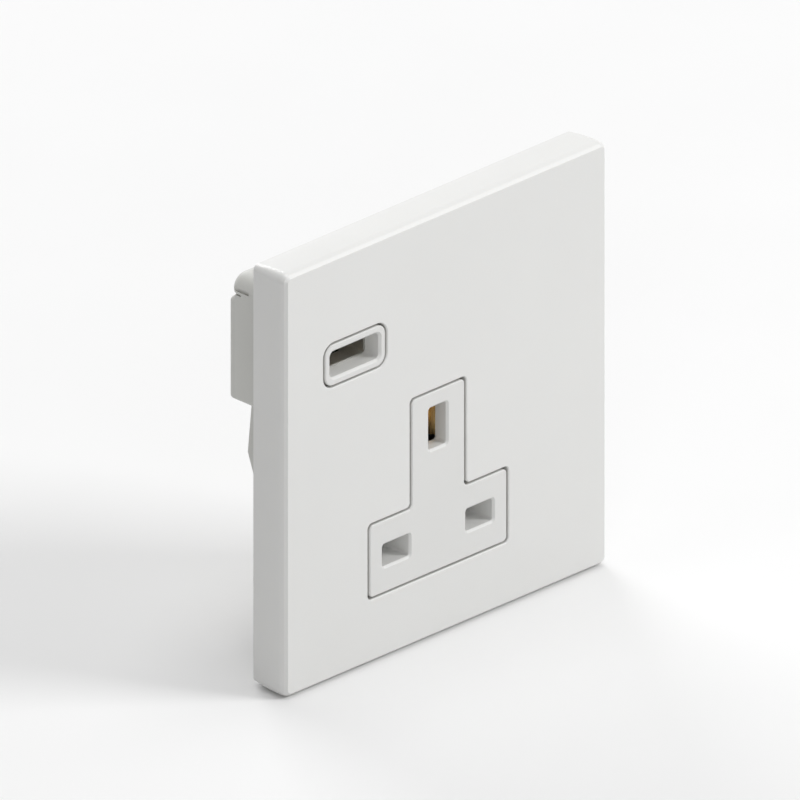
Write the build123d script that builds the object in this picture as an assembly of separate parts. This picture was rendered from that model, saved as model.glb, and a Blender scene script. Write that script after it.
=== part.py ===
from build123d import *

import os

# Single wall socket for flat three-pin mains plugs, with a USB charging port.
# Millimetres. Seen from the room, +X is right and +Z is up, and the front faces -Y.
# The wall is the plane y = 0, and the origin is midway between the two fixing holes.

# Cover plate
plate_width = 86.0
plate_height = 88.0
plate_depth = 9.0
plate_corner = 1.75
plate_wall = 2.0
panel_thickness = 2.4
side_draw_in = 0.58  # how far each side has bowed inward where it meets the wall
edge_inset = 0.84  # from the plate's widest line in to the flat of the front
edge_depth = 1.76  # from the front back to the plate's widest line
edge_chamfer = 0.55
edge_break = 0.2  # on the window edges and on the mouldings that fill them
rim_section = 1.2  # how much of the rim its swept section covers, less than the corner

# Pin layout
socket_x = -2.1  # the socket's centre line, a little left of the plate's middle
earth_z = -0.5
pin_pitch_x = 22.22
pin_pitch_z = 22.23
earth_slot_width = 4.7
earth_slot_height = 8.7
pin_slot_width = 7.1
pin_slot_height = 4.6
slot_corner = 0.5
slot_chamfer = 0.42

# Socket face, a T that fills its window in the cover
stem_width = 14.05
stem_top = 7.1
bar_width = 36.5
bar_height = 14.95
bar_bottom = -30.3
face_corner = 1.0
face_gap = 0.45  # between a raised face and its window
face_thickness = 3.2
face_wall = 1.8

# Port
port_x = -24.2
port_z = 21.5
collar_width = 16.05
collar_height = 8.45
collar_corner = 2.2
throat_width = 13.0
throat_height = 5.4
throat_corner = 1.0
throat_depth = 4.0
throat_chamfer = 0.45

# Mounting frame
frame_thickness = 2.0
frame_gap = 0.35
fixing_pitch = 60.3
fixing_hole_radius = 2.1
fixing_pad_radius = 3.9
fixing_pad_height = 0.6
frame_lap = 2.0  # how far the frame reaches in past the housings' outline
frame_head = 5.8  # the same at the top, where two housing screws pass through it
catch_z = 28.0
catch_length = 9.0
catch_overlap = 0.6
catch_height = 1.2
catch_gap = 0.2
tab_thickness = 1.6

# Housings
housing_wall = 1.6
housing_corner = 2.5
housing_top = 33.5
housing_bottom = -33.5
shoulder_z = 7.3  # above it the housings widen, clear of the fixing screws
port_side_gap = 0.65  # between the receptacle and the side wall of its housing
tub_joint_gap = 0.1  # between the two rear mouldings
front_half_width = 26.0
rear_half_width = 27.5
cover_clearance = 0.2
tray_base = 2.0
rear_upper_y = 14.4  # where the charger's lid lies on its tub
charger_back_y = 16.1  # above the lid the tub reaches further back, as a rounded head
charger_corner = 3.2
head_round = 2.6
head_lip_round = 0.6
side_groove_z = 30.2
side_groove_height = 0.75
side_groove_depth = 0.4
side_groove_front_y = 10.7
rear_lower_y = 14.9
rear_edge_round = 0.9
hump_ridge_z = -5.8
hump_bottom_z = -9.9
hump_start = 0.2  # how far it stands out already at the top of the tub
hump_rise = 1.5
tower_half_width = 7.0
tower_top_z = 5.9
tower_bottom_z = -8.2
barrier_offset = 6.8
barrier_thickness = 1.2
barrier_top_z = -9.0

# Charger lid
lid_height = 21.4
lid_thickness = 1.6
lid_corner = 1.0
lid_edge_round = 0.9
lid_gap = 0.7  # to the part of the tub above it
lid_opening_margin = 1.2
vent_count = 7
vent_pitch = 4.0
vent_width = 1.4
vent_length = 9.0

# Screws that hold the housings together
screw_radius = 1.25
screw_head_radius = 1.9
screw_head_height = 1.5
screw_hole_clearance = 0.15
pillar_radius = 2.4
upper_screw_x = 25.0
upper_screw_z = 31.0
lower_screw_offset = 19.2
lower_screw_z = -16.0

# Shutter and its spring
shutter_thickness = 1.5
shutter_travel = 5.6
shutter_cover = 0.55  # how far the bar laps each edge of a pin slot
shutter_clearance = 0.2
shutter_stem_half = 3.4
shutter_window_half = 2.2
wedge_width = 3.0
wedge_top_z = 0.5
wedge_bottom_z = -5.2
wedge_front_y = -2.5
wedge_slope_y = 3.0
wedge_back_y = 4.2
collar_wall = 1.2
collar_end_y = -1.0
post_height = 1.1
post_half_width = 1.5
spring_turns = 6
spring_radius = 1.4
spring_wire_radius = 0.2
spring_length = 9.3

# Contacts and terminals
strip = 0.8
bend = 0.6
pin_thickness = 4.0
contact_grip = 0.3  # how much narrower than a pin the jaws rest
pin_contact_width = 6.0
pin_contact_front_y = 1.6
pin_contact_back_y = 10.8
earth_contact_height = 8.0
earth_contact_front_y = -5.3
earth_contact_back_y = 14.8
terminal_offset = 19.4
terminal_width = 8.0
terminal_height = 8.0
terminal_front_y = 4.5
terminal_seat_gap = 0.1
terminal_floor_gap = 0.3
wire_bore_radius = 2.1
wire_entry_clearance = 0.9
terminal_screw_radius = 1.75
terminal_head_radius = 2.8
terminal_head_height = 1.4
terminal_screw_reach = 2.0
screw_access_radius = 3.2
thread_clearance = 0.05
rib = 1.0
rib_gap = 0.2

# USB receptacle
shell_width = 13.1
shell_height = 5.7
shell_sheet = 0.3
shell_corner = 0.6
shell_seat_gap = 0.1
tongue_width = 11.1
tongue_thickness = 1.84
tongue_inset = 0.71
tongue_setback = 0.5
insulator_depth = 5.8
insulator_gap = 0.1
port_contact_width = 1.0
port_contact_thickness = 0.2
port_contact_places = (-3.5, -1.0, 1.0, 3.5)

# Charger board and what stands on it
board_front_y = 10.0
board_thickness = 1.6
board_side_gap = 0.4
board_seat_gap = 0.05
board_bottom = 11.0
board_top = 26.4
ledge_depth = 1.4
lid_post_radius = 1.2
core_length = 12.4
core_width = 13.0
core_thickness = 6.0
core_leg = 3.0
core_back = 2.4
core_gap = 0.1
winding_fill = 0.4
transformer_x = 0.5
transformer_y = 5.0
part_z = 18.7  # the middle of the board, where the tall parts stand
mains_capacitor_radius = 4.0
mains_capacitor_length = 11.0
mains_capacitor_places = (12.6, 21.0)
output_capacitor_radius = 3.15
output_capacitor_length = 9.0
output_capacitor_x = -12.4
can_groove = 0.35
choke_radius = 2.6
choke_length = 6.0
choke_x = -28.0
choke_z = 15.2
chip_thickness = 1.5
rectifier_x = 9.0
rectifier_size = 4.6
controller_x = -3.0
controller_width = 6.2
controller_height = 5.0
fuse_radius = 1.4
fuse_length = 7.0
fuse_x = 26.5
link_offset = 15.2
link_width = 1.8
link_thickness = 0.6
link_lap = 3.0

# Planes and levels that follow from the sizes above
face_y = -plate_depth
panel_back_y = face_y + panel_thickness
base_front_y = panel_back_y + cover_clearance
base_back_y = base_front_y + tray_base
face_back_y = face_y + face_thickness
throat_end_y = face_y + throat_depth
frame_front_y = -frame_thickness
cavity_half_width = plate_width / 2 - side_draw_in - plate_wall
cavity_half_height = plate_height / 2 - side_draw_in - plate_wall
bar_top = bar_bottom + bar_height
upper_half_width = shell_width / 2 - port_x + port_side_gap + housing_wall
charger_half_width = upper_half_width - housing_wall
charger_floor = shoulder_z + housing_wall
tub_top = shoulder_z - tub_joint_gap
board_half_width = charger_half_width - board_side_gap
pin_z = earth_z - pin_pitch_z
pin_places = (socket_x - pin_pitch_x / 2, socket_x + pin_pitch_x / 2)
rear_lower_inner_y = rear_lower_y - housing_wall
rear_upper_inner_y = rear_upper_y - housing_wall
tower_y = earth_contact_back_y + terminal_seat_gap + housing_wall
terminal_back_y = rear_lower_inner_y - terminal_seat_gap
terminal_bottom = housing_bottom + housing_wall + terminal_floor_gap
terminal_top = terminal_bottom + terminal_height
terminal_z = (terminal_bottom + terminal_top) / 2
terminal_y = (terminal_front_y + terminal_back_y) / 2
neutral_terminal_x = socket_x - terminal_offset
line_terminal_x = socket_x + terminal_offset
terminal_places = (neutral_terminal_x, socket_x, line_terminal_x)
barb_outer_x = cavity_half_width - frame_gap
ledge_back_y = frame_front_y - catch_gap
ledge_front_y = ledge_back_y - catch_height
barb_back_y = ledge_front_y - catch_gap
barb_front_y = barb_back_y - catch_height
shutter_front_y = collar_end_y + shutter_clearance
shutter_back_y = shutter_front_y + shutter_thickness
shutter_bar_half = pin_pitch_x / 2 + pin_slot_width / 2 + shutter_cover * 2
shutter_bar_top = pin_z + pin_slot_height / 2 + shutter_cover
shutter_bar_bottom = pin_z - pin_slot_height / 2 - shutter_cover
shutter_stop_z = shutter_bar_bottom - shutter_travel - shutter_clearance
window_top = wedge_bottom_z - 2 * shutter_thickness
post_top = window_top - spring_length
post_bottom = post_top - post_height
window_bottom = post_bottom - shutter_clearance
spring_y = (shutter_front_y + shutter_back_y) / 2
board_back_y = board_front_y + board_thickness
shell_front_y = throat_end_y + shell_seat_gap
tongue_top = port_z + shell_height / 2 - shell_sheet - tongue_inset
tongue_bottom = tongue_top - tongue_thickness
upper_screws = ((-upper_screw_x, upper_screw_z), (upper_screw_x, upper_screw_z))
lower_screws = (
    (socket_x - lower_screw_offset, lower_screw_z),
    (socket_x + lower_screw_offset, lower_screw_z),
)
lid_bottom = shoulder_z
lid_top = lid_bottom + lid_height
head_bottom = lid_top + lid_gap
upper_seat_y = charger_back_y - head_round
link_places = (socket_x - link_offset, socket_x + link_offset)


# Block between two opposite corners
def block(x0, x1, y0, y1, z0, z1):
    middle = Pos((x0 + x1) / 2, (y0 + y1) / 2, (z0 + z1) / 2)
    return middle * Box(x1 - x0, y1 - y0, z1 - z0)


# Rectangle seen from the room, with round corners where a radius is given
def patch(x0, x1, z0, z1, radius=0):
    width = x1 - x0
    height = z1 - z0
    face = RectangleRounded(width, height, radius) if radius else Rectangle(width, height)
    return Pos((x0 + x1) / 2, (z0 + z1) / 2) * face


# Solid with a face seen from the room, from y0 back to y1
def prism(face, y0, y1):
    back = Plane((0, y1, 0), x_dir=(1, 0, 0), z_dir=(0, -1, 0))
    return extrude(back * face, y1 - y0)


# Rod along the depth of the socket
def rod(x, z, radius, y0, y1):
    return prism(Pos(x, z) * Circle(radius), y0, y1)


# Folded strip: the middle line of its section, extruded both ways from a plane
def folded_strip(plane, points, width):
    section = trace(FilletPolyline(*points, radius=bend), strip)
    return extrude(plane * section, width / 2, both=True)


# Outline of the T-shaped socket face, grown by a distance
def face_outline(grow):
    bar_half = bar_width / 2 + grow
    stem_half = stem_width / 2 + grow
    bar = patch(socket_x - bar_half, socket_x + bar_half, bar_bottom - grow, bar_top + grow)
    stem = patch(socket_x - stem_half, socket_x + stem_half, bar_bottom - grow, stem_top + grow)
    whole = bar + stem
    return fillet(whole.vertices(), face_corner)


# Outline of the port's collar, throat or receptacle
def port_outline(width, height, corner):
    return Pos(port_x, port_z) * RectangleRounded(width, height, corner)


# Outline of a housing, inset by a distance: a wide upper part on a narrower lower part
def housing_outline(half_width, inset):
    corner = housing_corner - inset
    top = housing_top - inset
    lower_half = half_width - inset
    upper_half = upper_half_width - inset
    lower = patch(-lower_half, lower_half, housing_bottom + inset, top, corner)
    upper = patch(-upper_half, upper_half, shoulder_z + inset, top, corner)
    return lower + upper


# Outlines of the three pin slots, grown by a distance
def earth_slot(grow):
    return Pos(socket_x, earth_z) * RectangleRounded(
        earth_slot_width + 2 * grow, earth_slot_height + 2 * grow, slot_corner + grow
    )


def pin_slot(x, grow):
    return Pos(x, pin_z) * RectangleRounded(
        pin_slot_width + 2 * grow, pin_slot_height + 2 * grow, slot_corner + grow
    )


# Edges round the openings in a moulding's frontmost face
def opening_edges(moulding):
    front = moulding.faces().sort_by(Axis.Y)[0]
    return [edge for wire in front.inner_wires() for edge in wire.edges()]


# Chamfer the openings in a raised face, then break its outer edge
def finish_face(moulding, opening_chamfer):
    moulding = chamfer(opening_edges(moulding), opening_chamfer)
    front = moulding.faces().sort_by(Axis.Y)[0]
    return chamfer(front.outer_wire().edges(), edge_break)


# Screwless cover: its rim is one section swept round the plate
def front_plate():
    edge_x = plate_width / 2
    side_y = face_y + edge_depth
    inner_x = edge_x - rim_section
    flat_x = edge_x - edge_inset
    crease = (flat_x + edge_chamfer, face_y + edge_chamfer)
    wall_x = edge_x - side_draw_in
    rim = make_face(
        [
            Line((inner_x, 0), (inner_x, face_y)),
            Line((inner_x, face_y), (flat_x, face_y)),
            Line((flat_x, face_y), crease),
            TangentArc((edge_x, side_y), crease, tangent=(0, -1)),
            TangentArc((edge_x, side_y), (wall_x, 0), tangent=(0, 1)),
            Line((wall_x, 0), (inner_x, 0)),
        ]
    )
    path = Plane.XZ * RectangleRounded(plate_width, plate_height, plate_corner)
    plate = sweep(rim, path=path.wire())
    core_inset = (edge_inset + rim_section) / 2
    core_half_height = plate_height / 2 - core_inset
    core_half_width = edge_x - core_inset
    core = patch(-core_half_width, core_half_width, -core_half_height, core_half_height, edge_inset)
    plate += prism(core, face_y, 0)
    plate -= prism(face_outline(face_gap), face_y, 0)
    plate -= prism(
        port_outline(collar_width + 2 * face_gap, collar_height + 2 * face_gap, collar_corner + face_gap),
        face_y,
        0,
    )
    plate = chamfer(opening_edges(plate), edge_break)
    half_width = cavity_half_width
    half_height = cavity_half_height
    cavity = patch(-half_width, half_width, -half_height, half_height, plate_corner)
    plate -= prism(cavity, panel_back_y, 0)
    for side in (-1, 1):
        for z in (-catch_z, catch_z):
            plate += catch_ledge(side, z)
    return plate


# Ledge inside the cover that snaps behind a barb of the frame
def catch_ledge(side, z):
    inner = side * (barb_outer_x - catch_overlap)
    outer = side * (cavity_half_width + plate_wall / 2)
    x0, x1 = sorted((inner, outer))
    return block(x0, x1, ledge_front_y, ledge_back_y, z - catch_length / 2, z + catch_length / 2)


# Frame screwed to the wall box, with snap tabs for the cover
def mounting_frame():
    half_width = cavity_half_width - frame_gap
    half_height = cavity_half_height - frame_gap
    frame = prism(patch(-half_width, half_width, -half_height, half_height, plate_corner), frame_front_y, 0)
    aperture = housing_outline(front_half_width, frame_lap)
    aperture -= patch(
        -upper_half_width, upper_half_width, housing_top - frame_head, housing_top + frame_head
    )
    frame -= prism(aperture, frame_front_y, 0)
    for side in (-1, 1):
        x = side * fixing_pitch / 2
        frame += rod(x, 0, fixing_pad_radius, frame_front_y - fixing_pad_height, 0)
        frame -= rod(x, 0, fixing_hole_radius, frame_front_y - fixing_pad_height, 0)
        for z in (-catch_z, catch_z):
            frame += snap_tab(side, z)
    for x, z in upper_screws:
        frame -= rod(x, z, screw_radius + screw_hole_clearance, frame_front_y, 0)
    return frame


# Tab with an outward barb whose front slopes, so that the cover rides over it
def snap_tab(side, z):
    outer = barb_outer_x - catch_overlap - catch_gap
    inner = outer - tab_thickness
    section = Polygon(
        (inner, frame_front_y / 2),
        (inner, barb_front_y),
        (outer, barb_front_y),
        (barb_outer_x, barb_back_y - catch_height / 3),
        (barb_outer_x, barb_back_y),
        (outer, barb_back_y),
        (outer, frame_front_y / 2),
        align=None,
    )
    tab = Pos(0, 0, z) * extrude(section, catch_length / 2, both=True)
    return tab if side > 0 else mirror(tab, about=Plane.YZ)


# Moulding with the socket face and the port collar, and a tray behind them
def front_housing():
    tray = prism(housing_outline(front_half_width, 0), base_front_y, frame_front_y)
    tray -= prism(housing_outline(front_half_width, housing_wall), base_back_y, frame_front_y)

    face = prism(face_outline(0), face_y, base_back_y)
    face -= prism(face_outline(-face_wall), face_back_y, base_back_y)
    face -= prism(earth_slot(0), face_y, base_back_y)
    for x in pin_places:
        face -= prism(pin_slot(x, 0), face_y, base_back_y)
    face = finish_face(face, slot_chamfer)

    collar = prism(port_outline(collar_width, collar_height, collar_corner), face_y, base_back_y)
    collar -= prism(port_outline(throat_width, throat_height, throat_corner), face_y, base_back_y)
    collar = finish_face(collar, throat_chamfer)

    tray -= prism(face_outline(-face_wall), base_front_y, base_back_y)
    tray -= prism(port_outline(throat_width, throat_height, throat_corner), base_front_y, base_back_y)
    housing = tray + face + collar
    seat_width = shell_width + 2 * shell_seat_gap
    seat_height = shell_height + 2 * shell_seat_gap
    housing -= prism(port_outline(seat_width, seat_height, shell_corner), throat_end_y, base_back_y)

    for x in pin_places:
        guide = prism(pin_slot(x, collar_wall), face_back_y - edge_break, collar_end_y)
        housing += guide - prism(pin_slot(x, 0), face_back_y - edge_break, collar_end_y)
    housing += block(
        socket_x - post_half_width,
        socket_x + post_half_width,
        face_back_y - edge_break,
        spring_y + spring_radius,
        post_bottom,
        post_top,
    )
    for x, z in upper_screws:
        housing += rod(x, z, pillar_radius, base_back_y - edge_break, frame_front_y)
        housing -= rod(x, z, screw_radius + thread_clearance, base_back_y, frame_front_y)
    for x, z in lower_screws:
        housing += rod(x, z, pillar_radius, base_back_y - edge_break, 0)
        housing -= rod(x, z, screw_radius + thread_clearance, base_back_y, 0)
    return housing


# Tub behind the socket face for the contacts and terminals, with a tower for the long earth pin
def rear_housing():
    inner_half = rear_half_width - housing_wall
    tub = prism(
        patch(-rear_half_width, rear_half_width, housing_bottom, tub_top, housing_corner), 0, rear_lower_y
    )
    tub = fillet(tub.faces().sort_by(Axis.Y)[-1].edges(), rear_edge_round)
    hump = Polygon(
        (rear_lower_inner_y, tub_top),
        (rear_lower_y + hump_start, tub_top),
        (rear_lower_y + hump_rise, hump_ridge_z),
        (rear_lower_y, hump_bottom_z),
        (rear_lower_inner_y, hump_bottom_z),
        align=None,
    )
    tub += extrude(Plane.YZ * hump, rear_half_width, both=True)
    tower = prism(
        patch(
            socket_x - tower_half_width,
            socket_x + tower_half_width,
            tower_bottom_z,
            tower_top_z,
            housing_corner,
        ),
        rear_lower_inner_y,
        tower_y,
    )
    tub += fillet(tower.faces().sort_by(Axis.Y)[-1].edges(), rear_edge_round)
    tub -= prism(
        patch(
            -inner_half,
            inner_half,
            housing_bottom + housing_wall,
            tub_top - housing_wall,
            housing_corner - housing_wall,
        ),
        0,
        rear_lower_inner_y,
    )
    tub -= prism(
        patch(
            socket_x - tower_half_width + housing_wall,
            socket_x + tower_half_width - housing_wall,
            tower_bottom_z + housing_wall,
            tower_top_z - housing_wall,
        ),
        0,
        earth_contact_back_y + terminal_seat_gap,
    )

    tub += contact_supports()
    for x in terminal_places:
        tub -= rod(x, terminal_z, screw_access_radius, terminal_back_y, rear_lower_y + hump_rise)
        entry = Cylinder(wire_bore_radius + wire_entry_clearance, 3 * housing_wall)
        tub -= Pos(x, terminal_y, housing_bottom) * entry
    for x in link_places:
        tub -= link_slot(x, board_back_y + link_thickness + rib_gap)
    for x, z in lower_screws:
        tub = screw_pillar(tub, x, z, rear_lower_y)
    return tub


# Outline of the charger's tub: rounder above than below
def charger_outline():
    outline = patch(-upper_half_width, upper_half_width, shoulder_z, housing_top)
    outline = fillet(outline.vertices().group_by(Axis.Y)[0], lid_corner)
    return fillet(outline.vertices().group_by(Axis.Y)[-1], charger_corner)


# Rounded head of the charger's tub, above the lid
def charger_head():
    above = patch(-upper_half_width, upper_half_width, head_bottom, housing_top)
    head = prism(charger_outline() & above, rear_upper_inner_y, charger_back_y)
    rim = head.faces().sort_by(Axis.Y)[-1].edges().sort_by(Axis.Z)
    head = fillet(rim[1:], head_round)
    lip = head.faces().sort_by(Axis.Y)[-1].edges().sort_by(Axis.Z)[0]
    return fillet(lip, head_lip_round)


# Wider tub above it for the charger, open at the back under its lid
def charger_housing():
    below = patch(-upper_half_width, upper_half_width, shoulder_z, head_bottom)
    tub = prism(charger_outline(), 0, rear_upper_inner_y)
    tub += prism(charger_outline() & below, rear_upper_inner_y, rear_upper_y)
    tub += charger_head()
    for side in (-1, 1):
        x0, x1 = sorted((side * (upper_half_width - side_groove_depth), side * upper_half_width))
        tub -= block(
            x0, x1, side_groove_front_y, charger_back_y, side_groove_z, side_groove_z + side_groove_height
        )
    tub -= prism(
        patch(
            -charger_half_width,
            charger_half_width,
            charger_floor,
            housing_top - housing_wall,
            housing_corner - housing_wall,
        ),
        0,
        rear_upper_inner_y,
    )
    tub -= prism(
        patch(-charger_half_width, charger_half_width, charger_floor, lid_top - lid_opening_margin),
        0,
        rear_upper_y,
    )
    tub += board_ledges()
    for x in link_places:
        tub -= link_slot(x, rear_upper_y)
    for x, z in upper_screws:
        tub = screw_pillar(tub, x, z, upper_seat_y)
        tub -= rod(x, z, screw_head_radius + screw_hole_clearance, upper_seat_y, charger_back_y)
    return tub


# Slot through the walls between the two tubs for a supply link
def link_slot(x, back_y):
    half = link_width / 2 + rib_gap
    low = tub_top - 2 * housing_wall
    high = charger_floor + housing_wall
    return block(x - half, x + half, board_back_y - rib_gap, back_y, low, high)


# Barrier walls, shutter stops, terminal pockets and contact seats inside the tub
def contact_supports():
    floor = housing_bottom + housing_wall / 2
    back = rear_lower_inner_y + housing_wall / 2
    supports = []
    for side in (-1, 1):
        x = socket_x + side * barrier_offset
        supports.append(
            block(
                x - barrier_thickness / 2,
                x + barrier_thickness / 2,
                shutter_back_y + shutter_clearance,
                back,
                floor,
                barrier_top_z,
            )
        )
    for x in pin_places:
        stop_half = pin_contact_width / 2
        supports.append(block(x - stop_half, x + stop_half, 0, shutter_back_y, floor, shutter_stop_z))
    for x in terminal_places:
        for side in (-1, 1):
            near = x + side * (terminal_width / 2 + rib_gap)
            far = near + side * rib
            x0, x1 = sorted((near, far))
            supports.append(block(x0, x1, terminal_y, back, floor, terminal_top - strip))
    for x in pin_places:
        seat = block(
            x - pin_contact_width / 4,
            x + pin_contact_width / 4,
            pin_contact_back_y + terminal_seat_gap,
            back,
            pin_z - pin_thickness / 4,
            pin_z + pin_thickness / 4,
        )
        supports.append(seat)
    return supports


# Ledges in the charger's tub that the board lies on: in its corners and beside the supply links
def board_ledges():
    ledge_end = board_front_y - board_seat_gap
    ledges = []
    for side in (-1, 1):
        outer = side * (charger_half_width + housing_wall / 2)
        inner = side * (board_half_width - ledge_depth)
        x0, x1 = sorted((inner, outer))
        for z in (board_bottom + ledge_depth / 2, board_top - ledge_depth / 2):
            ledges.append(
                block(x0, x1, ledge_end - ledge_depth, ledge_end, z - ledge_depth / 2, z + ledge_depth / 2)
            )
    for x in link_places:
        ledges.append(
            block(
                x - link_width,
                x + link_width,
                ledge_end - ledge_depth,
                ledge_end,
                shoulder_z + housing_wall / 2,
                board_bottom + ledge_depth,
            )
        )
    return ledges


# Pillar for a housing screw, with its head sunk in the back of the tub
def screw_pillar(tub, x, z, back_y):
    head_seat = back_y - screw_head_height - screw_hole_clearance
    tub += rod(x, z, pillar_radius, 0, back_y - edge_break)
    tub -= rod(x, z, screw_radius + screw_hole_clearance, 0, back_y)
    return tub - rod(x, z, screw_head_radius + screw_hole_clearance, head_seat, back_y)


# Raised lid over the charger, with vents and posts that hold the board down
def charger_cover():
    lid_back_y = rear_upper_y + lid_thickness
    outline = patch(-upper_half_width, upper_half_width, lid_bottom, lid_top, lid_corner)
    lid = prism(outline, rear_upper_y, lid_back_y)
    lid = fillet(lid.faces().sort_by(Axis.Y)[-1].edges(), lid_edge_round)
    vent_z = (lid_bottom + lid_top) / 2
    first = -(vent_count - 1) / 2 * vent_pitch
    for i in range(vent_count):
        slot = SlotOverall(vent_length, vent_width, rotation=90)
        lid -= prism(Pos(first + i * vent_pitch, vent_z) * slot, rear_upper_y, lid_back_y)
    inset = 2 * lid_post_radius
    for x in (-board_half_width + inset, board_half_width - inset):
        for z in (board_bottom + inset, board_top - inset):
            lid += rod(x, z, lid_post_radius, board_back_y + board_seat_gap, rear_upper_y + lid_thickness / 2)
    return lid


# Shutter: a bar behind the line and neutral slots, and a wedge that the earth pin drives down
def shutter():
    piece = block(
        socket_x - shutter_bar_half,
        socket_x + shutter_bar_half,
        shutter_front_y,
        shutter_back_y,
        shutter_bar_bottom,
        shutter_bar_top,
    )
    piece += block(
        socket_x - shutter_stem_half,
        socket_x + shutter_stem_half,
        shutter_front_y,
        shutter_back_y,
        shutter_bar_bottom,
        wedge_bottom_z,
    )
    wedge = Polygon(
        (wedge_front_y, wedge_bottom_z - shutter_thickness),
        (wedge_front_y, wedge_bottom_z),
        (wedge_slope_y, wedge_top_z),
        (wedge_back_y, wedge_top_z),
        (wedge_back_y, wedge_bottom_z - shutter_thickness),
        align=None,
    )
    piece += Pos(socket_x, 0, 0) * extrude(Plane.YZ * wedge, wedge_width / 2, both=True)
    window = patch(
        socket_x - shutter_window_half,
        socket_x + shutter_window_half,
        window_bottom,
        window_top,
        slot_corner,
    )
    return piece - prism(window, shutter_front_y, shutter_back_y)


# Coil spring between the housing's post and the top of the shutter's window
def shutter_spring():
    coil_height = spring_length - 2 * spring_wire_radius - 2 * thread_clearance
    coil = Helix(coil_height / spring_turns, coil_height, spring_radius)
    wire = Plane(coil @ 0, z_dir=coil % 0) * Circle(spring_wire_radius)
    spring = sweep(wire, path=coil)
    return Pos(socket_x, spring_y, post_top + spring_wire_radius + thread_clearance) * spring


# Folded jaws round one flat pin, with a tail that lies on its terminal
def pin_contact(x, terminal_x):
    jaw = (pin_thickness - contact_grip + strip) / 2
    back = pin_contact_back_y - strip / 2
    mouth = pin_contact_front_y + strip
    half_section = [(mouth, jaw + 2 * strip), (mouth + 3 * strip, jaw), (back - 2 * strip, jaw + bend / 2)]
    upper = half_section + [(back, jaw + bend / 2)]
    lower = [(y, -z) for y, z in reversed(upper)]
    contact = Pos(x, 0, pin_z) * folded_strip(Plane.YZ, upper + lower, pin_contact_width)
    side = 1 if terminal_x > x else -1
    near = x + side * (pin_contact_width / 2 - strip)
    far = terminal_x - side * strip
    x0, x1 = sorted((near, far))
    return contact + block(
        x0, x1, back - pin_contact_width / 2, pin_contact_back_y, terminal_top, terminal_top + strip
    )


# Folded jaws round the earth pin, with a strip down to its terminal
def earth_contact():
    jaw = (pin_thickness - contact_grip + strip) / 2
    back = earth_contact_back_y - strip / 2
    mouth = earth_contact_front_y
    right = [(jaw + 1.5 * strip, mouth), (jaw, mouth + 3 * strip), (jaw, back)]
    left = [(-x, y) for x, y in reversed(right)]
    jaws = Pos(socket_x, 0, earth_z) * folded_strip(Plane.XY, right + left, earth_contact_height)
    heel_z = earth_z - earth_contact_height / 2 - strip
    run_y = rear_lower_inner_y - strip
    foot_z = terminal_top + strip / 2
    tail = [
        (back, earth_z),
        (back, heel_z),
        (run_y, heel_z),
        (run_y, foot_z),
        (terminal_y, foot_z),
    ]
    return jaws + Pos(socket_x, 0, 0) * folded_strip(Plane.YZ, tail, pin_thickness)


# Brass block with a bore for the wire and a threaded hole for the clamping screw
def terminal(x):
    piece = block(
        x - terminal_width / 2,
        x + terminal_width / 2,
        terminal_front_y,
        terminal_back_y,
        terminal_bottom,
        terminal_top,
    )
    piece = chamfer(piece.edges().filter_by(Axis.Z), edge_break)
    piece -= Pos(x, terminal_y, terminal_z) * Cylinder(wire_bore_radius, terminal_height)
    return piece - rod(x, terminal_z, terminal_screw_radius + thread_clearance, terminal_y, terminal_back_y)


# Slotted screw along the depth: head at the back, tip towards the room
def slotted_screw(x, z, radius, head_radius, head_height, seat_y, reach):
    screw = rod(x, z, radius, seat_y - reach, seat_y)
    head = rod(x, z, head_radius, seat_y, seat_y + head_height)
    head = chamfer(head.faces().sort_by(Axis.Y)[-1].edges(), edge_break)
    half_slot = head_height / 4
    return (
        screw
        + head
        - block(
            x - head_radius,
            x + head_radius,
            seat_y + head_height / 2,
            seat_y + head_height,
            z - half_slot,
            z + half_slot,
        )
    )


def terminal_screws():
    return [
        slotted_screw(
            x,
            terminal_z,
            terminal_screw_radius,
            terminal_head_radius,
            terminal_head_height,
            terminal_back_y,
            terminal_screw_reach,
        )
        for x in terminal_places
    ]


def housing_screws():
    places = [(x, z, upper_seat_y) for x, z in upper_screws]
    places += [(x, z, rear_lower_y) for x, z in lower_screws]
    return [
        slotted_screw(
            x,
            z,
            screw_radius,
            screw_head_radius,
            screw_head_height,
            back_y - screw_head_height - screw_hole_clearance,
            back_y - screw_head_height - screw_hole_clearance - base_back_y - tray_base / 2,
        )
        for x, z, back_y in places
    ]


# Receptacle shell folded from sheet, with windows for the latching fingers
def usb_shell():
    inner_width = shell_width - 2 * shell_sheet
    inner_height = shell_height - 2 * shell_sheet
    shell = prism(port_outline(shell_width, shell_height, shell_corner), shell_front_y, board_front_y)
    shell -= prism(
        port_outline(inner_width, inner_height, shell_corner - shell_sheet), shell_front_y, board_front_y
    )
    finger_y = shell_front_y + shell_height
    for x in port_contact_places[1:3]:
        finger_x = port_x + x * tongue_width / 4
        shell -= block(
            finger_x - port_contact_width,
            finger_x + port_contact_width,
            finger_y - 2 * port_contact_width,
            finger_y + 2 * port_contact_width,
            port_z - shell_height,
            port_z + shell_height,
        )
    return shell


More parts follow.
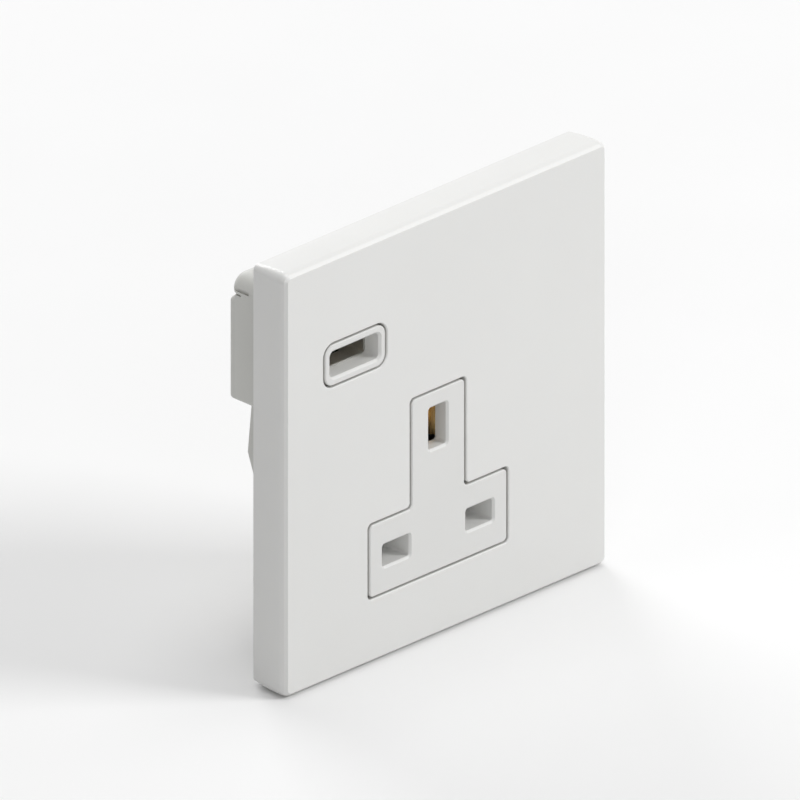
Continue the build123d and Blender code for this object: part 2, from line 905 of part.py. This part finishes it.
# Insulator block that fills the back of the shell, with a tongue towards the mouth
def usb_insulator():
    width = shell_width - 2 * shell_sheet - 2 * insulator_gap
    height = shell_height - 2 * shell_sheet - 2 * insulator_gap
    insulator = prism(
        Pos(port_x, port_z) * Rectangle(width, height), board_front_y - insulator_depth, board_front_y
    )
    tongue = block(
        port_x - tongue_width / 2,
        port_x + tongue_width / 2,
        shell_front_y + tongue_setback,
        board_front_y - insulator_depth / 2,
        tongue_bottom,
        tongue_top,
    )
    nose = tongue.faces().sort_by(Axis.Y)[0]
    insulator += chamfer(nose.edges(), edge_break)
    for x in port_contact_places:
        half = port_contact_width / 2 + thread_clearance
        insulator -= block(
            port_x + x - half,
            port_x + x + half,
            board_front_y - insulator_depth,
            board_front_y,
            tongue_bottom - port_contact_thickness - thread_clearance,
            tongue_bottom,
        )
    return insulator


def usb_contacts():
    half = port_contact_width / 2
    return [
        block(
            port_x + x - half,
            port_x + x + half,
            shell_front_y + 2 * tongue_setback,
            board_front_y,
            tongue_bottom - port_contact_thickness,
            tongue_bottom,
        )
        for x in port_contact_places
    ]


def charger_board():
    board = block(-board_half_width, board_half_width, board_front_y, board_back_y, board_bottom, board_top)
    return fillet(board.edges().filter_by(Axis.Y), edge_break * 2)


# Two E-shaped ferrite halves whose legs meet in the middle of the bobbin
def transformer_cores():
    half_length = core_length / 2
    outer_leg = core_leg / 2
    half = patch(0, half_length, -core_width / 2, core_width / 2)
    reach = half_length - core_back
    window_outer = core_width / 2 - outer_leg
    half -= patch(0, reach, core_leg / 2, window_outer)
    half -= patch(0, reach, -window_outer, -core_leg / 2)
    right = prism(half, transformer_y - core_thickness / 2, transformer_y + core_thickness / 2)
    left = mirror(right, about=Plane.YZ)
    gap = core_gap / 2
    return [Pos(transformer_x + gap, 0, part_z) * right, Pos(transformer_x - gap, 0, part_z) * left]


# Spool on the middle leg, with flanges that stand on the board
def transformer_bobbin():
    half_length = core_length / 2 - core_back - core_gap
    tube_half_z = core_leg / 2 + strip
    tube_half_y = core_thickness / 2 + strip
    flange_half_z = core_width / 2 - core_leg / 2 - core_gap
    reach = board_front_y - transformer_y
    spool = block(-half_length, half_length, -tube_half_y, tube_half_y, -tube_half_z, tube_half_z)
    for side in (-1, 1):
        x0, x1 = sorted((side * half_length, side * (half_length - strip)))
        spool += block(x0, x1, -reach, reach, -flange_half_z, flange_half_z)
    leg_half_y = core_thickness / 2 + core_gap
    leg_half_z = core_leg / 2 + core_gap
    spool -= block(-half_length, half_length, -leg_half_y, leg_half_y, -leg_half_z, leg_half_z)
    return Pos(transformer_x, transformer_y, part_z) * spool


def transformer_winding():
    half_length = core_length / 2 - core_back - core_gap - strip - core_gap
    half_z = core_width / 2 - core_leg / 2 - winding_fill
    half_y = board_front_y - transformer_y - winding_fill
    coil = Plane.YZ * RectangleRounded(2 * half_y, 2 * half_z, half_z / 2)
    winding = extrude(coil, half_length, both=True)
    hole_y = core_thickness / 2 + strip + core_gap
    hole_z = core_leg / 2 + strip + core_gap
    winding -= block(-half_length, half_length, -hole_y, hole_y, -hole_z, hole_z)
    return Pos(transformer_x, transformer_y, part_z) * winding


# Capacitor can that stands on the board, with a rolled groove near its foot
def capacitor(x, z, radius, length):
    section = make_face(
        Polyline(
            (0, 0),
            (radius, 0),
            (radius, 3 * can_groove),
            (radius - can_groove, 4 * can_groove),
            (radius, 5 * can_groove),
            (radius, length - can_groove),
            (radius - can_groove, length),
            (0, length),
            close=True,
        )
    )
    can = revolve(Plane.XZ * section, Axis.Z)
    return Pos(x, board_front_y, z) * Rot(90, 0, 0) * can


def mains_capacitors():
    return [
        capacitor(x, part_z, mains_capacitor_radius, mains_capacitor_length) for x in mains_capacitor_places
    ]


def output_capacitor():
    return capacitor(output_capacitor_x, part_z, output_capacitor_radius, output_capacitor_length)


# Drum choke: a waisted ferrite bobbin standing on the board
def filter_choke():
    waist = choke_radius - can_groove * 2
    section = make_face(
        Polyline(
            (0, 0),
            (choke_radius, 0),
            (choke_radius, can_groove * 3),
            (waist, can_groove * 3),
            (waist, choke_length - can_groove * 3),
            (choke_radius, choke_length - can_groove * 3),
            (choke_radius, choke_length),
            (0, choke_length),
            close=True,
        )
    )
    return Pos(choke_x, board_front_y, choke_z) * Rot(90, 0, 0) * revolve(Plane.XZ * section, Axis.Z)


# Flat package on the back of the board
def chip(x, width, height):
    half_width = width / 2
    half_height = height / 2
    package = block(
        x - half_width,
        x + half_width,
        board_back_y,
        board_back_y + chip_thickness,
        part_z - half_height,
        part_z + half_height,
    )
    return chamfer(package.faces().sort_by(Axis.Y)[-1].edges(), edge_break)


def input_fuse():
    tube = Cylinder(fuse_radius, fuse_length)
    return Pos(fuse_x, board_front_y - fuse_radius, part_z) * fillet(tube.edges(), edge_break)


# Flat links that bring line and neutral up from the terminals to the board
def supply_links():
    half = link_width / 2
    back_y = board_back_y + link_thickness
    return [
        block(x - half, x + half, board_back_y, back_y, terminal_top, board_bottom + link_lap)
        for x in link_places
    ]


nodes = {
    "front_plate": front_plate(),
    "mounting_frame": mounting_frame(),
    "front_housing": front_housing(),
    "rear_housing": rear_housing(),
    "charger_housing": charger_housing(),
    "charger_cover": charger_cover(),
    "shutter": shutter(),
    "shutter_spring": shutter_spring(),
    "earth_contact": earth_contact(),
    "line_contact": pin_contact(pin_places[1], line_terminal_x),
    "neutral_contact": pin_contact(pin_places[0], neutral_terminal_x),
    "earth_terminal": terminal(socket_x),
    "line_terminal": terminal(line_terminal_x),
    "neutral_terminal": terminal(neutral_terminal_x),
    "terminal_screws": terminal_screws(),
    "housing_screws": housing_screws(),
    "usb_shell": usb_shell(),
    "usb_insulator": usb_insulator(),
    "usb_contacts": usb_contacts(),
    "charger_board": charger_board(),
    "transformer_cores": transformer_cores(),
    "transformer_bobbin": transformer_bobbin(),
    "transformer_winding": transformer_winding(),
    "mains_capacitors": mains_capacitors(),
    "output_capacitor": output_capacitor(),
    "filter_choke": filter_choke(),
    "rectifier": chip(rectifier_x, rectifier_size, rectifier_size),
    "controller_chip": chip(controller_x, controller_width, controller_height),
    "input_fuse": input_fuse(),
    "supply_links": supply_links(),
}

os.makedirs("parts", exist_ok=True)
for name, shape in nodes.items():
    pieces = shape if isinstance(shape, list) else shape.solids()
    export_step(Compound(children=[Solid(piece.solid().wrapped) for piece in pieces]), f"parts/{name}.step")
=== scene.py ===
import math

import bmesh
import bpy
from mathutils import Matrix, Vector


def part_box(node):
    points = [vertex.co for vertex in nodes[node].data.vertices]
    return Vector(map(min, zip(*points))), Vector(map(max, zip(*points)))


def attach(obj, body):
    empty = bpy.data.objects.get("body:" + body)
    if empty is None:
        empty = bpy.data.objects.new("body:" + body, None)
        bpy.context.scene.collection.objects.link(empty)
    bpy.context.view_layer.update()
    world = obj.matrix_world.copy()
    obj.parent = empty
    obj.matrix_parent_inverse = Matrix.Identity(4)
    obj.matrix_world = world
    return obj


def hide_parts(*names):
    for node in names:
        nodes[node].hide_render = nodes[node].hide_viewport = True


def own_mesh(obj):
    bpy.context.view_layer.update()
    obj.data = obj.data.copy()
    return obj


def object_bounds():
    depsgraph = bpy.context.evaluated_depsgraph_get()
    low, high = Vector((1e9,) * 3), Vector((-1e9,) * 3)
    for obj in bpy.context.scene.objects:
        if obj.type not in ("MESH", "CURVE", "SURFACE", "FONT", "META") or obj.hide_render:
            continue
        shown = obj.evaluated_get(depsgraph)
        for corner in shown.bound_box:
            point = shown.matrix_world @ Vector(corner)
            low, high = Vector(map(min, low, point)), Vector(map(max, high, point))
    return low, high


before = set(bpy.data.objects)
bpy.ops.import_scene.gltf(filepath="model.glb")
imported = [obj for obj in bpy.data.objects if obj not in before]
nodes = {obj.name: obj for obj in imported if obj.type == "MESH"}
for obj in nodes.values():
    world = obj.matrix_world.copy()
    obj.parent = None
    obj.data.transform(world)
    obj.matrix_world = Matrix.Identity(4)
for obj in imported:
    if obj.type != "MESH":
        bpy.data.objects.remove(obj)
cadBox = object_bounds()
scene = bpy.context.scene
print("frame loaded:", len(nodes), "nodes")


def addObject(name, data):
    thing = bpy.data.objects.new(name, data)
    scene.collection.objects.link(thing)
    return thing


# For lamps and the camera, which look along their own -Z.
def lookAlong(thing, direction):
    thing.rotation_mode = "QUATERNION"
    thing.rotation_quaternion = direction.to_track_quat("-Z", "Y")


def addNode(tree, kind, inputs=None, **settings):
    node = tree.nodes.new(kind)
    for name, value in settings.items():
        setattr(node, name, value)
    for name, value in (inputs or {}).items():
        node.inputs[name].default_value = value
    return node


def startMaterial(name):
    material = bpy.data.materials.new(name)
    material.use_nodes = True
    tree = material.node_tree
    return material, tree, tree.nodes["Principled BSDF"]


# Points in metres. A scale under 1 draws a pattern out along that axis.
def surfacePoints(tree, scale=(1, 1, 1)):
    place = addNode(tree, "ShaderNodeTexCoord")
    mapping = addNode(tree, "ShaderNodeMapping", {"Scale": scale})
    tree.links.new(place.outputs["Object"], mapping.inputs["Vector"])
    return mapping.outputs["Vector"]


def grain(tree, points, size, detail=2.0, roughness=0.55):
    settings = {"Scale": 1 / size, "Detail": detail, "Roughness": roughness}
    noise = addNode(tree, "ShaderNodeTexNoise", settings)
    tree.links.new(points, noise.inputs["Vector"])
    return noise.outputs["Fac"]


# Goes from low to high while the value goes from start to end.
def between(tree, value, low, high, start=0.2, end=0.8):
    settings = {"From Min": start, "From Max": end, "To Min": low, "To Max": high}
    span = addNode(tree, "ShaderNodeMapRange", settings, interpolation_type="SMOOTHSTEP")
    tree.links.new(value, span.inputs["Value"])
    return span.outputs["Result"]


# Each of the two colours is three numbers or a socket.
# In colour mode the node's sockets are 0, 6 and 7, and its result is 2.
def mixColours(tree, value, first, second, way="MIX"):
    mix = addNode(tree, "ShaderNodeMix", data_type="RGBA", blend_type=way)
    tree.links.new(value, mix.inputs[0])
    for place, colour in ((6, first), (7, second)):
        if isinstance(colour, tuple):
            mix.inputs[place].default_value = (*colour, 1)
        else:
            tree.links.new(colour, mix.inputs[place])
    return mix.outputs[2]


# The look's own colour, a little darker in soft patches.
def clouded(tree, points, look):
    darker = tuple(part * (1 - look["clouding"]) for part in look["colour"])
    clouds = between(tree, grain(tree, points, look["cloudSize"]), 0, 1)
    return mixColours(tree, clouds, darker, look["colour"])


# A bump of so many metres, laid over another where one is given.
def relief(tree, height, strength, depth, under=None):
    bump = addNode(tree, "ShaderNodeBump", {"Strength": strength, "Distance": depth})
    tree.links.new(height, bump.inputs["Height"])
    if under:
        tree.links.new(under, bump.inputs["Normal"])
    return bump.outputs["Normal"]


# Injection moulding: faint clouding, a soft waviness, a fine tool texture and painted shade in the
# corners.
def mouldedPlastic(name, look):
    material, tree, shader = startMaterial(name)
    points = surfacePoints(tree)
    # Painted shade: the colour is multiplied darker where ambient occlusion finds corners,
    # recesses and gaps between parts.
    corner = addNode(tree, "ShaderNodeAmbientOcclusion", {"Distance": look["cornerReach"]},
                     samples=look["cornerSamples"])
    paintedShade = between(tree, corner.outputs["AO"], look["cornerShadeStrength"], 0,
                   look["cornerDeep"], look["cornerOpen"])
    colour = mixColours(tree, paintedShade, clouded(tree, points, look), look["cornerShadeColour"], "MULTIPLY")
    tree.links.new(colour, shader.inputs["Base Color"])
    patches = grain(tree, points, look["cloudSize"] / look["cloudsToShine"])
    shine = between(tree, patches, look["roughness"] - look["shineSpread"],
                    look["roughness"] + look["shineSpread"])
    tree.links.new(shine, shader.inputs["Roughness"])
    waves = grain(tree, points, look["waveSize"], detail=1)
    texture = grain(tree, points, look["textureSize"], detail=3)
    surface = relief(tree, waves, look["waveStrength"], look["waveDepth"])
    surface = relief(tree, texture, look["textureStrength"], look["textureDepth"], under=surface)
    tree.links.new(surface, shader.inputs["Normal"])
    shader.inputs["Coat Weight"].default_value = look["coat"]
    shader.inputs["Coat Roughness"].default_value = look["coatRoughness"]
    shader.inputs["Subsurface Weight"].default_value = look["translucence"]
    shader.inputs["Subsurface Radius"].default_value = look["lightReach"]
    return material


# 1 along the sharp edges, where the tools and the fitter's hands rub the metal bright.
def rubbedEdges(tree, look):
    rounded = addNode(tree, "ShaderNodeBevel", {"Radius": look["edgeWidth"]},
                      samples=look["edgeSamples"])
    surface = addNode(tree, "ShaderNodeNewGeometry")
    agreement = addNode(tree, "ShaderNodeVectorMath", operation="DOT_PRODUCT")
    tree.links.new(rounded.outputs["Normal"], agreement.inputs[0])
    tree.links.new(surface.outputs["Normal"], agreement.inputs[1])
    return between(tree, agreement.outputs["Value"], 1, 0, look["edgeSharp"], look["edgeFlat"])


# Rolled, drawn or turned metal: fine lines along one axis, stains, a varying shine, bright edges.
def workedMetal(name, look):
    material, tree, shader = startMaterial(name)
    lines = grain(tree, surfacePoints(tree, look["lineScale"]), look["lineSize"], detail=3)
    stains = grain(tree, surfacePoints(tree), look["stainSize"], detail=4)
    stained = between(tree, stains, 0, 1, look["stainStart"], look["stainEnd"])
    lined = between(tree, lines, 0, look["lineShade"])
    colour = mixColours(tree, stained, look["colour"], look["stainColour"])
    colour = mixColours(tree, lined, colour, look["lineColour"], "MULTIPLY")
    colour = mixColours(tree, rubbedEdges(tree, look), colour, look["edgeColour"])
    tree.links.new(colour, shader.inputs["Base Color"])
    shine = between(tree, lines, look["roughness"] - look["smoother"],
                    look["roughness"] + look["rougher"])
    tree.links.new(shine, shader.inputs["Roughness"])
    surface = relief(tree, lines, look["lineStrength"], look["lineDepth"])
    tree.links.new(surface, shader.inputs["Normal"])
    shader.inputs["Metallic"].default_value = 1.0
    return material


# 1 for the rays that see the background: straight, in a reflection or through glass.
def backgroundRays(tree):
    rays = addNode(tree, "ShaderNodeLightPath")
    mirrored = addNode(tree, "ShaderNodeMath", operation="MAXIMUM")
    seen = addNode(tree, "ShaderNodeMath", operation="MAXIMUM")
    tree.links.new(rays.outputs["Is Glossy Ray"], mirrored.inputs[0])
    tree.links.new(rays.outputs["Is Transmission Ray"], mirrored.inputs[1])
    tree.links.new(rays.outputs["Is Camera Ray"], seen.inputs[0])
    tree.links.new(mirrored.outputs[0], seen.inputs[1])
    return seen.outputs[0]


def dress(material, *names):
    for name in names:
        mesh = nodes[name].data
        mesh.materials.clear()
        mesh.materials.append(material)


# The other plastics start from this one. Sizes, reaches and depths are in metres.
coverLook = {
    "colour": (0.80, 0.80, 0.785), "clouding": 0.015, "cloudSize": 0.025,
    "roughness": 0.36, "shineSpread": 0.04, "cloudsToShine": 3,
    "coat": 0.25, "coatRoughness": 0.12,
    "translucence": 0.03, "lightReach": (0.0006, 0.0005, 0.0004),
    "waveSize": 0.009, "waveStrength": 0.012, "waveDepth": 0.0002,
    "textureSize": 0.0003, "textureStrength": 0.04, "textureDepth": 0.00005,
    # The corner values set the painted shade in corners and recesses: its reach, strength and
    # colour.
    "cornerReach": 0.0012, "cornerSamples": 8, "cornerDeep": 0.25, "cornerOpen": 0.85,
    "cornerShadeStrength": 0.35, "cornerShadeColour": (0.55, 0.54, 0.51),
}
dress(mouldedPlastic("coverPlastic", coverLook), "front_plate")

faceLook = {
    **coverLook, "colour": (0.77, 0.77, 0.755), "roughness": 0.42, "coat": 0.12,
    "textureSize": 0.00022, "textureStrength": 0.10,
}
dress(mouldedPlastic("facePlastic", faceLook), "front_housing")
print("cover and socket face done")

frameLook = {
    **coverLook, "colour": (0.66, 0.66, 0.64), "roughness": 0.52, "coat": 0.0, "clouding": 0.05,
    "textureSize": 0.0004, "textureStrength": 0.25, "cornerReach": 0.002, "cornerShadeStrength": 0.5,
}
dress(mouldedPlastic("framePlastic", frameLook), "mounting_frame")

tubLook = {**frameLook, "colour": (0.70, 0.70, 0.67), "roughness": 0.48, "textureStrength": 0.2}
dress(mouldedPlastic("tubPlastic", tubLook), "rear_housing", "charger_housing")

lidLook = {**tubLook, "colour": (0.69, 0.69, 0.66), "roughness": 0.50, "textureSize": 0.0005}
dress(mouldedPlastic("lidPlastic", lidLook), "charger_cover")

shutterLook = {
    **faceLook, "colour": (0.72, 0.72, 0.70), "roughness": 0.45, "textureStrength": 0.15,
}
dress(mouldedPlastic("shutterPlastic", shutterLook), "shutter")

insulatorLook = {**faceLook, "colour": (0.74, 0.74, 0.72), "cloudSize": 0.004}
dress(mouldedPlastic("insulatorPlastic", insulatorLook), "usb_insulator")
print("frame, tub, lid, shutter and insulator done")

# The other metals start from this one.
contactLook = {
    "colour": (0.78, 0.57, 0.27), "roughness": 0.27, "smoother": 0.06, "rougher": 0.1,
    "stainColour": (0.66, 0.44, 0.20), "stainSize": 0.006, "stainStart": 0.35, "stainEnd": 0.75,
    "lineScale": (1, 1, 0.04), "lineSize": 0.0002, "lineStrength": 0.08, "lineDepth": 0.00003,
    "lineColour": (0.55, 0.55, 0.55), "lineShade": 0.14,
    "edgeColour": (0.86, 0.68, 0.38), "edgeWidth": 0.0001, "edgeSamples": 6,
    "edgeSharp": 0.70, "edgeFlat": 0.97,
}
dress(workedMetal("contactBrass", contactLook),
      "earth_contact", "line_contact", "neutral_contact")

terminalLook = {
    **contactLook, "colour": (0.74, 0.53, 0.24), "lineScale": (0.08, 1, 1), "roughness": 0.33,
    "edgeWidth": 0.00015,
}
dress(workedMetal("terminalBrass", terminalLook),
      "earth_terminal", "line_terminal", "neutral_terminal")

terminalScrewLook = {
    **contactLook, "colour": (0.76, 0.55, 0.26), "lineScale": (1, 0.3, 1), "roughness": 0.30,
}
dress(workedMetal("terminalScrewBrass", terminalScrewLook), "terminal_screws")

linkLook = {**contactLook, "colour": (0.70, 0.68, 0.62), "stainColour": (0.60, 0.50, 0.34)}
dress(workedMetal("linkBrass", linkLook), "supply_links")

screwLook = {
    **contactLook, "colour": (0.62, 0.63, 0.65), "roughness": 0.34,
    "stainColour": (0.52, 0.52, 0.50), "stainSize": 0.002, "lineScale": (1, 1, 1),
    "edgeColour": (0.80, 0.80, 0.80), "edgeWidth": 0.00012,
}
dress(workedMetal("screwSteel", screwLook), "housing_screws")

shellLook = {
    **screwLook, "colour": (0.80, 0.79, 0.77), "roughness": 0.36,
    "stainColour": (0.74, 0.73, 0.70), "stainSize": 0.008,
    "lineScale": (0.08, 1, 1), "lineShade": 0.08,
}
dress(workedMetal("shellSteel", shellLook), "usb_shell")

goldLook = {
    **contactLook, "colour": (0.90, 0.66, 0.24), "stainColour": (0.84, 0.58, 0.20),
    "lineScale": (1, 0.08, 1), "roughness": 0.24,
}
dress(workedMetal("goldPlate", goldLook), "usb_contacts")
print("metal done")

springLook = {
    **screwLook, "colour": (0.56, 0.56, 0.57), "lineScale": (1, 1, 0.2), "roughness": 0.28,
    "turns": 6, "closedTurns": 0.8, "closedPitch": 0.00042, "wireRadius": 0.0002,
    "stepsPerTurn": 36, "sides": 10,
}


# A compression spring with closed ends, as tall and as wide as the box it is given.
def coiledWire(name, low, high, look):
    wire, turns, closed = look["wireRadius"], look["turns"], look["closedTurns"]
    steps, sides, closedPitch = look["stepsPerTurn"], look["sides"], look["closedPitch"]
    centre = (low + high) / 2
    radius = (high.x - low.x) / 2 - wire
    openTurns = turns - 2 * closed
    openPitch = (high.z - low.z - 2 * wire - 2 * closed * closedPitch) / openTurns
    corners = [2 * math.pi * side / sides for side in range(sides)]  # round the wire
    coil = bmesh.new()
    rings = []
    for step in range(turns * steps + 1):
        turn = step / steps
        opened = min(max(turn - closed, 0), openTurns)
        pitch = openPitch if 0 < opened < openTurns else closedPitch
        height = opened * openPitch + (turn - opened) * closedPitch
        angle = 2 * math.pi * turn
        slope = pitch / (2 * math.pi * radius)
        outward = Vector((math.cos(angle), math.sin(angle), 0))
        onward = Vector((-math.sin(angle), math.cos(angle), slope)).normalized()
        upward = outward.cross(onward)
        middle = Vector((centre.x, centre.y, low.z + wire + height)) + outward * radius
        spokes = [outward * math.cos(corner) + upward * math.sin(corner) for corner in corners]
        rings.append([coil.verts.new(middle + spoke * wire) for spoke in spokes])
    for first, second in zip(rings, rings[1:]):
        for side in range(sides):
            after = (side + 1) % sides
            face = coil.faces.new((first[side], first[after], second[after], second[side]))
            face.smooth = True
    coil.faces.new(rings[0][::-1])
    coil.faces.new(rings[-1])
    bmesh.ops.recalc_face_normals(coil, faces=coil.faces)
    mesh = bpy.data.meshes.new(name)
    coil.to_mesh(mesh)
    coil.free()
    return mesh


# A coiled return spring takes the place of the CAD spring, filling its box; its foot is the middle
# of the box's floor, on the post.
springLow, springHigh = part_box("shutter_spring")
springFoot = (springLow + springHigh) / 2
springFoot.z = springLow.z
springMesh = coiledWire("returnSpring", springLow, springHigh, springLook)
springMesh.materials.append(workedMetal("springSteel", springLook))
returnSpring = addObject("returnSpring", springMesh)
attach(returnSpring, "socket")
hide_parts("shutter_spring")
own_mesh(returnSpring)

boardLook = {
    **frameLook, "colour": (0.035, 0.16, 0.06), "clouding": 0.4, "cloudSize": 0.0016,
    "roughness": 0.35, "textureSize": 0.0003, "textureStrength": 0.3,
}
dress(mouldedPlastic("boardLaminate", boardLook), "charger_board")

ferriteLook = {
    **frameLook, "colour": (0.045, 0.045, 0.05), "clouding": 0.3, "cloudSize": 0.002,
    "roughness": 0.7,
}
dress(mouldedPlastic("ferrite", ferriteLook), "transformer_cores", "filter_choke")

bobbinLook = {**frameLook, "colour": (0.03, 0.03, 0.03), "clouding": 0.2, "roughness": 0.5}
dress(mouldedPlastic("bobbinPlastic", bobbinLook), "transformer_bobbin")

tapeLook = {
    **frameLook, "colour": (0.72, 0.46, 0.04), "clouding": 0.15, "cloudSize": 0.003,
    "roughness": 0.3,
}
dress(mouldedPlastic("windingTape", tapeLook), "transformer_winding")

canLook = {
    **frameLook, "colour": (0.03, 0.035, 0.055), "clouding": 0.2, "roughness": 0.3,
    "textureStrength": 0.05,
}
dress(mouldedPlastic("canSleeve", canLook), "mains_capacitors", "output_capacitor")

chipLook = {
    **frameLook, "colour": (0.02, 0.02, 0.022), "clouding": 0.25, "cloudSize": 0.002,
    "roughness": 0.55,
}
dress(mouldedPlastic("chipPlastic", chipLook), "rectifier", "controller_chip")

fuseLook = {
    **frameLook, "colour": (0.10, 0.22, 0.14), "clouding": 0.2, "cloudSize": 0.003,
    "roughness": 0.4,
}
dress(mouldedPlastic("fuseCeramic", fuseLook), "input_fuse")
print("charger parts done")

# The floor is just under the cover's lower edge and runs on past every view.
# The background rays see it in the paler colour, and it lights the object with the other.
floorLook = {
    "colour": (0.93, 0.93, 0.93), "colourInLight": (0.70, 0.70, 0.70), "clouding": 0.012,
    "cloudSize": 0.05, "roughness": 0.6, "shine": 0.2, "reach": 8.0, "gap": 0.0002,
}
floorLevel = cadBox[0].z - floorLook["gap"]
floorCorners = [(x * floorLook["reach"], y * floorLook["reach"], floorLevel)
                for x, y in ((-1, -1), (1, -1), (1, 1), (-1, 1))]
floorMesh = bpy.data.meshes.new("floor")
floorMesh.from_pydata(floorCorners, [], [(0, 1, 2, 3)])
floorMaterial, floorTree, floorShader = startMaterial("floorPaper")
floorColour = mixColours(floorTree, backgroundRays(floorTree), floorLook["colourInLight"],
                         clouded(floorTree, surfacePoints(floorTree), floorLook))
floorTree.links.new(floorColour, floorShader.inputs["Base Color"])
floorShader.inputs["Roughness"].default_value = floorLook["roughness"]
floorShader.inputs["Specular IOR Level"].default_value = floorLook["shine"]
floorMesh.materials.append(floorMaterial)
floor = addObject("floor", floorMesh)

worldLook = {"light": 0.33, "background": 0.97}
world = bpy.data.worlds.new("studio")
scene.world = world
world.use_nodes = True
worldTree = world.node_tree
sky = worldTree.nodes["Background"]
level = addNode(worldTree, "ShaderNodeMapRange",
                {"To Min": worldLook["light"], "To Max": worldLook["background"]})
worldTree.links.new(backgroundRays(worldTree), level.inputs["Value"])
worldTree.links.new(level.outputs["Result"], sky.inputs["Strength"])
sky.inputs["Color"].default_value = (1, 1, 1, 1)

lamps = {
    "key": {"place": (0.60, -0.80, 0.70), "size": 0.45, "power": 6.8},
    "top": {"place": (0.10, 0.05, 1.15), "size": 0.70, "power": 4.1},
    "fill": {"place": (-0.75, -0.80, 0.40), "size": 0.50, "power": 1.5},
    "back": {"place": (0.35, 0.95, 0.50), "size": 0.60, "power": 3.8},
}
for name, lamp in lamps.items():
    light = bpy.data.lights.new(name, "AREA")
    light.size = lamp["size"]
    light.energy = lamp["power"]
    lightObject = addObject(name, light)
    lightObject.location = lamp["place"]
    lookAlong(lightObject, -Vector(lamp["place"]))

# Parallel projection from the front left. The middle of the cover's front lands on its pixel.
cameraLook = {
    "azimuth": -45.0, "elevation": 25.16, "distance": 1.0,
    "imageSize": 800, "pixelsPerMetre": 5307,
    "faceCentre": (0, -0.009, 0), "facePixel": (446.3, 420.5),
}
imageMiddle, pixelsPerMetre = cameraLook["imageSize"] / 2, cameraLook["pixelsPerMetre"]
turn, tilt = math.radians(cameraLook["azimuth"]), math.radians(cameraLook["elevation"])
sideways = math.cos(tilt)
toCamera = Vector((math.sin(turn) * sideways, -math.cos(turn) * sideways, math.sin(tilt)))
toRight = Vector((math.cos(turn), math.sin(turn), 0))
toTop = toCamera.cross(toRight)
offRight = (imageMiddle - cameraLook["facePixel"][0]) / pixelsPerMetre
offTop = (cameraLook["facePixel"][1] - imageMiddle) / pixelsPerMetre
aim = Vector(cameraLook["faceCentre"]) + toRight * offRight + toTop * offTop
camera = bpy.data.cameras.new("camera")
camera.type = "ORTHO"
camera.ortho_scale = cameraLook["imageSize"] / pixelsPerMetre
cameraObject = addObject("camera", camera)
cameraObject.location = aim + toCamera * cameraLook["distance"]
lookAlong(cameraObject, -toCamera)
scene.camera = cameraObject
scene.view_settings.view_transform = "Standard"
print("stage, light and camera done")
